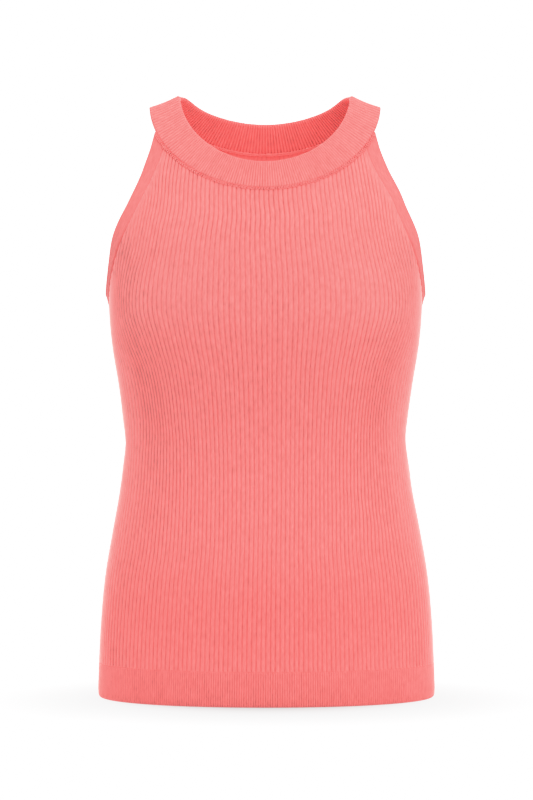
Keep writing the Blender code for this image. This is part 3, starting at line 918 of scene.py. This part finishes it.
# Each chain's stitch length and yarn width, coarser than real ones so that they show, and
# how far the neck's chains lie off the neckband's edge, across it and outwards
NECK_CHAIN, NECK_CHAIN_OFF = (2.6, 1.5), (1.3, 0.25)
INSIDE_CHAIN, INSIDE_CHAIN_OFF = (1.5, 1.7), (-0.4, -(PANEL_WALL + 1.9))
ARM_CHAIN = (2.4, 1.0)
ARM_CHAIN_END = 0.06
seams = []
for word, middle_angle, reach in (("front", 0, 66), ("back", 180, 62)):
    edge, over, out = neck_frame(np.linspace(middle_angle - reach, middle_angle + reach, 301))
    for name, chain, (aside, off), facing in (
            (f"neck_linking_{word}", NECK_CHAIN, NECK_CHAIN_OFF, out),
            (f"neck_linking_{word}_inside", INSIDE_CHAIN, INSIDE_CHAIN_OFF, -out)):
        seams.append((name, edge + aside * over + off * out, facing, *chain))
for side, word in ((1, "left"), (-1, "right")):
    row = smooth_row(ARMHOLE, np.linspace(ARM_CHAIN_END, NECK_END_BACK - ARM_CHAIN_END, 321))
    point, normal = cloth(row[:, 0], side * row[:, 1])
    sunk = ARM_SEAM_SINK * fade(SINK_LEVEL - row[:, :1], SINK_RUN)
    seams.append((f"armhole_linking_{word}", point - (PANEL_WALL + sunk) * normal, -normal,
                  *ARM_CHAIN))
for name, points, out, length, thick in seams:
    line = seam_line(name, points, out)
    grow(line, linking, stitch_length=length * MM, yarn_width=thick * MM, seed=3,
         yarn=linking_yarn)
    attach(line, "root")


# Studio
# A round white table under an even white surround, brighter overhead than below; a large
# soft light from in front, a little to the wearer's left, and weaker ones from both sides
# and the back.
TABLE_RADIUS = 0.36
TABLE_Z = HEM * MM - 0.0006
table_mesh = bpy.data.meshes.new("studio_table")
rim = np.linspace(0, 2 * math.pi, 96, endpoint=False)
table_mesh.from_pydata([(TABLE_RADIUS * math.cos(a), TABLE_RADIUS * math.sin(a), TABLE_Z)
                        for a in rim], [], [tuple(range(len(rim)))])
table = add_object("studio_table", table_mesh)
# Matt white acrylic, lit so evenly that it runs into the white behind it
white = bpy.data.materials.new("white_table_acrylic")
white.use_nodes = True
tree = white.node_tree
shader = tree.nodes["Principled BSDF"]
shader.inputs["Roughness"].default_value = 0.9
shader.inputs["Specular IOR Level"].default_value = 0.0
# A painted shadow of the garment darkens it round the hem, in an oval set forward by a share of
# its half depth
SHADE_HALF_WIDTH, SHADE_HALF_DEPTH, SHADE_FORWARD = 0.150, 0.130, 0.23
place = add_node(tree, "ShaderNodeTexCoord")
oval = add_node(tree, "ShaderNodeMapping",
                {"Vector": place.outputs["Object"], "Location": (0, SHADE_FORWARD, 0),
                 "Scale": (1 / SHADE_HALF_WIDTH, 1 / SHADE_HALF_DEPTH, 0)})
far = add_node(tree, "ShaderNodeVectorMath", {0: oval}, operation="LENGTH")
shade = add_node(tree, "ShaderNodeMapRange",
                 {"Value": far.outputs["Value"], "From Min": 0.6, "From Max": 1.9,
                  "To Min": 0.50, "To Max": 1.0})
grey = add_node(tree, "ShaderNodeCombineColor", {0: shade, 1: shade, 2: shade})
dull = add_node(tree, "ShaderNodeVectorMath", {0: grey, "Scale": 0.15}, operation="SCALE")
tree.links.new(dull.outputs[0], shader.inputs["Base Color"])
tree.links.new(grey.outputs[0], shader.inputs["Emission Color"])
shader.inputs["Emission Strength"].default_value = 1.35
table_mesh.materials.append(white)

world = bpy.data.worlds.new("studio_surround")
world.use_nodes = True
tree = world.node_tree
tree.nodes.clear()
seen = add_node(tree, "ShaderNodeBackground", {"Color": (1, 1, 1, 1), "Strength": 1.45})
way = add_node(tree, "ShaderNodeTexCoord")
parts = add_node(tree, "ShaderNodeSeparateXYZ", {0: way.outputs["Generated"]})
glow = add_node(tree, "ShaderNodeMapRange",
                {"Value": parts.outputs["Z"], "From Min": -1.0, "From Max": 1.0,
                 "To Min": 0.40, "To Max": 1.2})
lighting = add_node(tree, "ShaderNodeBackground", {"Color": (1, 1, 1, 1), "Strength": glow})
path = add_node(tree, "ShaderNodeLightPath")
either = add_node(tree, "ShaderNodeMixShader",
                  {0: path.outputs["Is Camera Ray"], 1: lighting, 2: seen})
add_node(tree, "ShaderNodeOutputWorld", {0: either})
bpy.context.scene.world = world

SOFT_LIGHTS = [
    # name, azimuth to the wearer's left of the front, elevation, strength, spread
    ("key_light", 22, 20, 1.13, 60),
    ("right_side_light", -108, 12, 0.62, 50),
    ("left_side_light", 110, 12, 0.46, 50),
    ("back_light", 180, 30, 0.56, 60),
]
for name, azimuth, elevation, strength, spread in SOFT_LIGHTS:
    lamp = bpy.data.lights.new(name, "SUN")
    lamp.energy = strength
    lamp.angle = math.radians(spread)
    light = add_object(name, lamp)
    light.rotation_euler = (math.radians(90 - elevation), 0, math.radians(azimuth))

# Two small lamps hung inside keep the back of the neck from going dark
for name, height, strength in (("inside_low_light", -0.17, 0.19),
                               ("inside_high_light", -0.015, 0.055)):
    lamp = bpy.data.lights.new(name, "POINT")
    lamp.energy = strength
    lamp.shadow_soft_size = 0.04
    light = add_object(name, lamp)
    light.location = (0, 0, height)
    light.visible_camera = False

# A long lens, level and straight in front of the garment's middle
CAMERA_AWAY, CAMERA_Z = 2.7, -0.2888
lens = bpy.data.cameras.new("camera")
lens.sensor_width = 36.0
lens.lens = 127.9
camera = add_object("camera", lens)
camera.location = (0, -CAMERA_AWAY, CAMERA_Z)
camera.rotation_euler = (math.radians(90), 0, 0)
bpy.context.scene.camera = camera

# Bright tones roll off softly towards white, as on film
ROLL_OFF = [(0, 0), (0.7, 0.7), (0.8, 0.805), (0.88, 0.872), (0.95, 0.91), (1.0, 0.925),
            (1.1, 0.944), (1.2, 0.961), (1.3, 0.98), (1.38, 0.992), (1.44, 1.0), (3.0, 1.0)]
BRIGHTEST = ROLL_OFF[-1][0]
tone = bpy.context.scene.view_settings
tone.view_transform = "Standard"
tone.use_curve_mapping = True
tone.curve_mapping.white_level = (BRIGHTEST, BRIGHTEST, BRIGHTEST)
curve = tone.curve_mapping.curves[3]
for value, shown in ROLL_OFF[1:-1]:
    curve.points.new(value / BRIGHTEST, shown)
for point in curve.points:
    point.handle_type = "VECTOR"
tone.curve_mapping.update()
